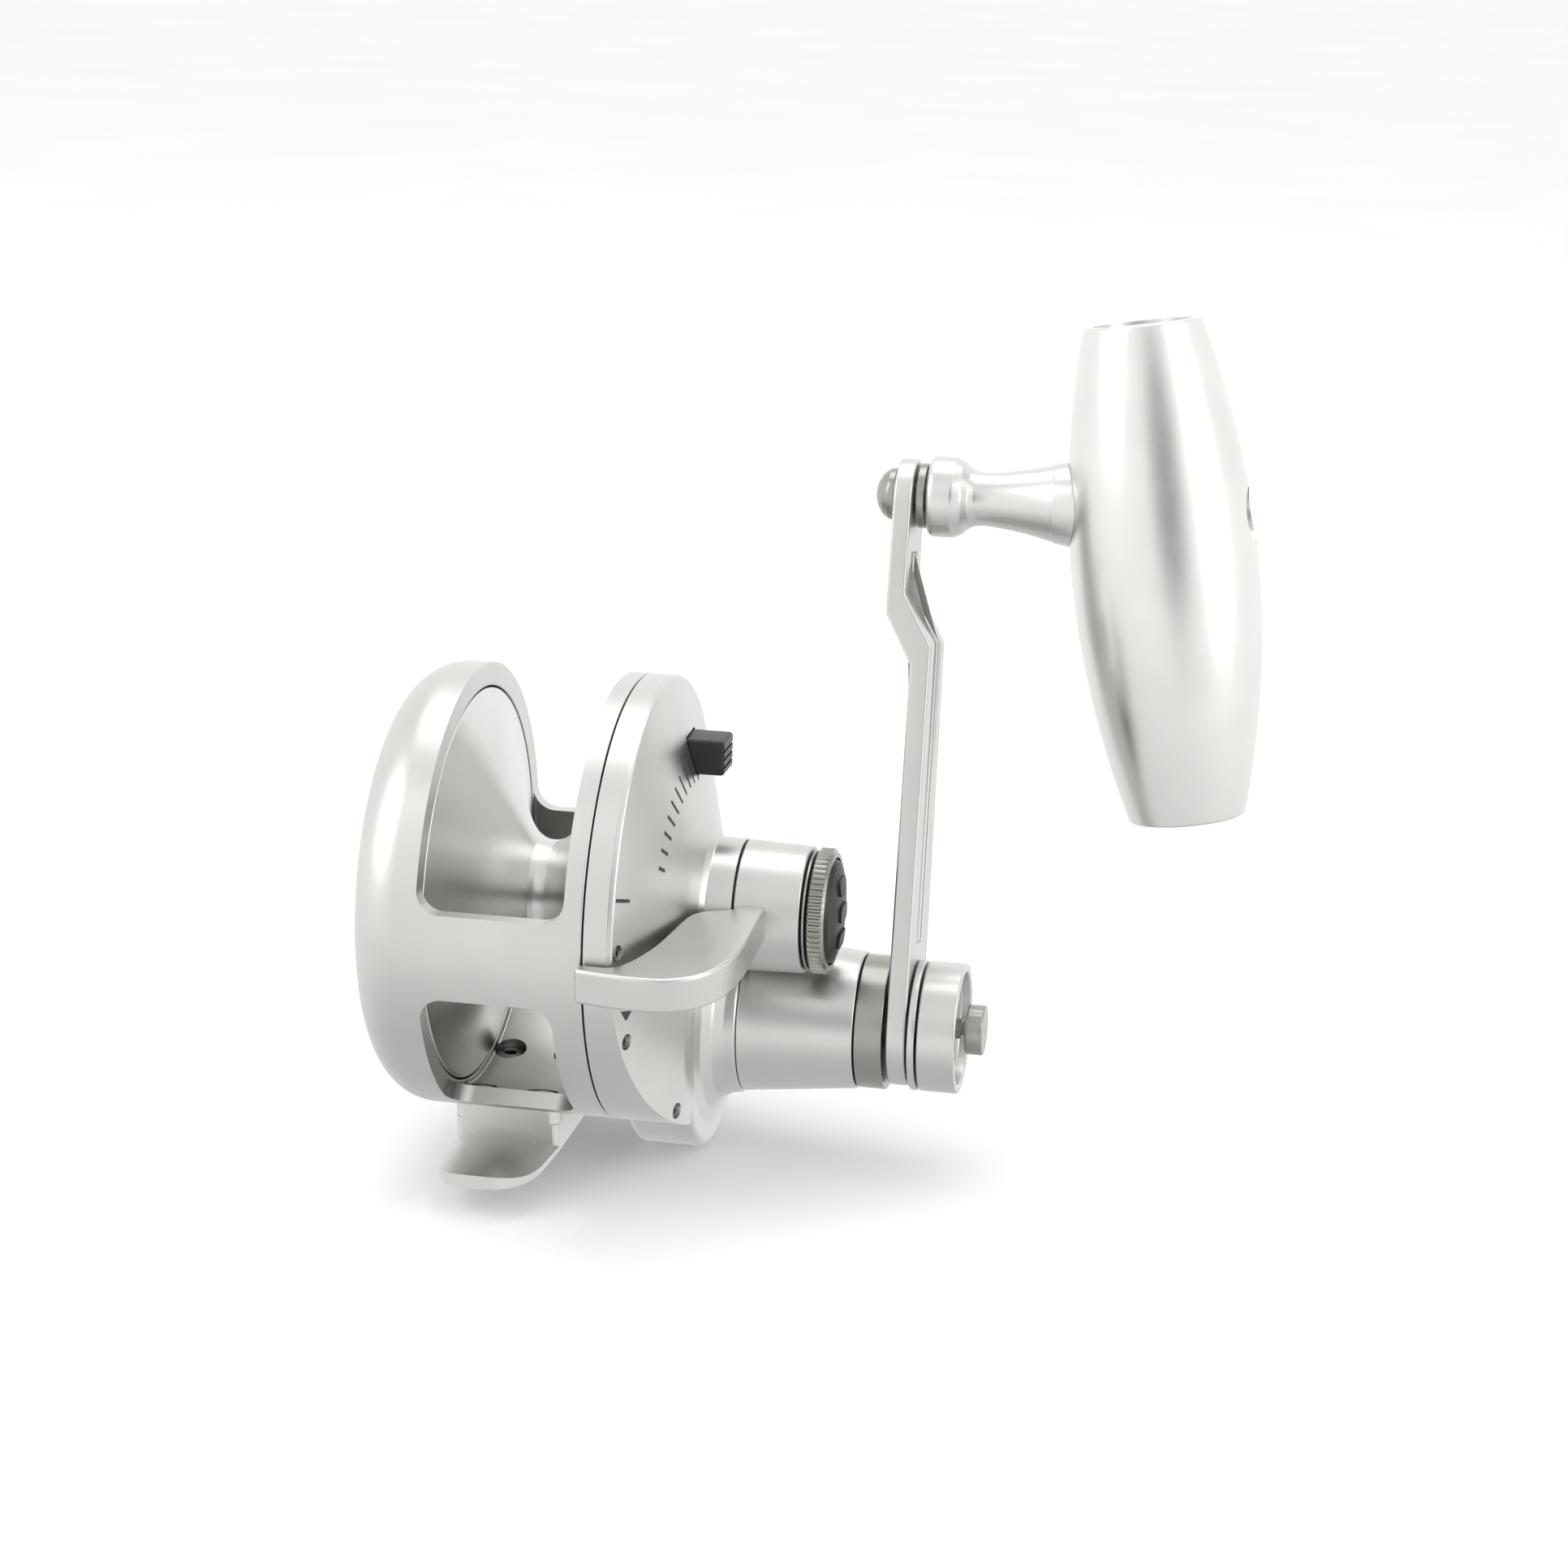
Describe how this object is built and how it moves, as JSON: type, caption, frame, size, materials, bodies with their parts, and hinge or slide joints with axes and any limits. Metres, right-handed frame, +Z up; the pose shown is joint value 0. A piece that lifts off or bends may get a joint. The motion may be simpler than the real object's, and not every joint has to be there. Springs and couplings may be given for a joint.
{
  "type": "lever-drag fishing reel",
  "caption": "Two-speed overhead reel with an open-top frame, a drag lever, a sprung strike stop and a long side crank with a barrel-shaped grip.",
  "frame": {"origin": "centre of the foot's flat underside, where the reel sits on a rod", "axes": "+X along the spool axis toward the crank, +Y away from the angler toward the rod tip, +Z up from the rod"},
  "size_m": [0.1307, 0.0797, 0.1349],
  "materials": {
    "anodised_aluminium": "satin anodised",
    "polished_aluminium": "bright, finely turned",
    "stainless_steel": "satin",
    "gear_bronze": "machined",
    "carbon_fibre": "matte woven",
    "black_plastic": "glossy black"
  },
  "bodies": {
    "housing": {"frame": "anodised_aluminium", "foot": "anodised_aluminium", "side_plate": "anodised_aluminium", "bridge_plate": "anodised_aluminium", "shaft_bearing_left": "stainless_steel", "shaft_bearing_right": "stainless_steel", "handle_bearing_inner": "stainless_steel", "handle_bearing_outer": "stainless_steel", "roller_clutch": "stainless_steel", "handle_sleeve": "anodised_aluminium", "sleeve_ring": "stainless_steel", "foot_screw_1": "stainless_steel", "foot_screw_2": "stainless_steel", "foot_screw_3": "stainless_steel", "foot_screw_4": "stainless_steel", "side_plate_screw_1": "stainless_steel", "side_plate_screw_2": "stainless_steel", "side_plate_screw_3": "stainless_steel", "side_plate_screw_4": "stainless_steel", "side_plate_screw_5": "stainless_steel"},
    "spool_body": {"spool": "polished_aluminium", "spool_bearing_left": "stainless_steel", "spool_bearing_right": "stainless_steel", "drag_washer_left": "carbon_fibre", "drag_washer_right": "carbon_fibre"},
    "drive_shaft": {"spool_shaft": "stainless_steel", "drag_plate_left": "stainless_steel", "drag_plate_right": "stainless_steel", "pinion_high": "stainless_steel", "pinion_low": "stainless_steel"},
    "crank_body": {"handle_shaft": "stainless_steel", "main_gear_high": "gear_bronze", "ratchet_wheel": "stainless_steel", "crank_arm": "anodised_aluminium", "crank_washer": "anodised_aluminium", "crank_cap": "anodised_aluminium", "axle_nut": "stainless_steel", "axle_washer": "stainless_steel", "knob_axle": "stainless_steel"},
    "low_gear": {"main_gear_low": "gear_bronze"},
    "dog_1": {"antireverse_dog_1": "stainless_steel"},
    "dog_2": {"antireverse_dog_2": "stainless_steel"},
    "lever": {"drag_lever": "anodised_aluminium", "lever_cam": "stainless_steel"},
    "preset": {"preset_knob": "stainless_steel", "preset_cap": "black_plastic", "preset_washer": "stainless_steel"},
    "strike_stop": {"strike_button": "black_plastic", "strike_spring": "stainless_steel"},
    "speed_selector": {"shift_button": "stainless_steel", "shift_spring": "stainless_steel"},
    "knob_body": {"handle_knob": "polished_aluminium", "knob_neck": "polished_aluminium", "knob_bearing_inner": "stainless_steel", "knob_bearing_outer": "stainless_steel", "knob_end_plug": "anodised_aluminium"}
  },
  "joints": [
    {"name": "lever_swing", "type": "hinge", "parent": "housing", "child": "lever", "pos_m": [0.04, 0, 0.0399], "axis": [-1, 0, 0], "range_deg": [0, 77]},
    {"name": "preset_turn", "type": "hinge", "parent": "lever", "child": "preset", "pos_m": [0.048, 0, 0.0399], "axis": [-1, 0, 0], "range_deg": [0, 90]},
    {"name": "strike_press", "type": "slide", "parent": "housing", "child": "strike_stop", "axis": [-1, 0, 0], "range_m": [0, 0.0016], "stiffness_N_per_m": 400, "springref_m": -0.001},
    {"name": "crank_turn", "type": "hinge", "parent": "housing", "child": "crank_body", "pos_m": [0.06, 0.011, 0.01845], "axis": [-1, 0, 0], "continuous": true},
    {"name": "knob_spin", "type": "hinge", "parent": "crank_body", "child": "knob_body", "pos_m": [0.078, 0.02647, 0.10101], "axis": [1, 0, 0], "continuous": true},
    {"name": "speed_shift", "type": "slide", "parent": "crank_body", "child": "speed_selector", "axis": [-1, 0, 0], "range_m": [0, 0.002], "stiffness_N_per_m": 400, "springref_m": -0.001},
    {"name": "drive_turn", "type": "hinge", "parent": "housing", "child": "drive_shaft", "pos_m": [0.018, 0, 0.0399], "axis": [-1, 0, 0], "continuous": true},
    {"name": "spool_turn", "type": "hinge", "parent": "housing", "child": "spool_body", "pos_m": [0.004, 0, 0.0399], "axis": [-1, 0, 0], "continuous": true},
    {"name": "low_gear_turn", "type": "hinge", "parent": "housing", "child": "low_gear", "pos_m": [0.0267, 0.011, 0.01845], "axis": [-1, 0, 0], "continuous": true},
    {"name": "dog_1_swing", "type": "hinge", "parent": "housing", "child": "dog_1", "pos_m": [0.029, 0.01188, 0.00728], "axis": [1, 0, 0], "range_deg": [-6, 8]},
    {"name": "dog_2_swing", "type": "hinge", "parent": "housing", "child": "dog_2", "pos_m": [0.029, 0.02217, 0.01933], "axis": [1, 0, 0], "range_deg": [-6, 8]}
  ],
  "couplings": [
    {"joint": "drive_turn", "follows": "crank_turn", "ratio": -4},
    {"joint": "spool_turn", "follows": "crank_turn", "ratio": -4},
    {"joint": "low_gear_turn", "follows": "crank_turn", "ratio": 2.6667}
  ]
}
